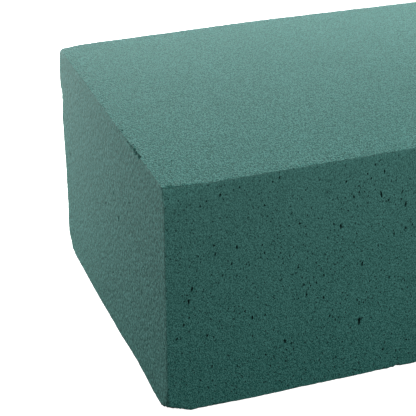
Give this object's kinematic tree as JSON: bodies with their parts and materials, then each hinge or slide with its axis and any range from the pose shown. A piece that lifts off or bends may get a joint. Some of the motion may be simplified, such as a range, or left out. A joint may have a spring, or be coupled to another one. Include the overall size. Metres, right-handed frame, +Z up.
{
  "type": "floral foam brick",
  "caption": "Rigid green foam brick that holds cut flower stems: a plain rectangular block with dry, crumbly edges, worn corners and fine open pores.",
  "frame": {"origin": "centre of the face that the brick stands on", "axes": "+X along the brick's length, +Y across its width, +Z up through its height, the way the foam rose"},
  "size_m": [0.23, 0.11, 0.075],
  "materials": {
    "green_foam": "matte"
  },
  "bodies": {
    "root": {"foam_brick": "green_foam"}
  },
  "joints": []
}
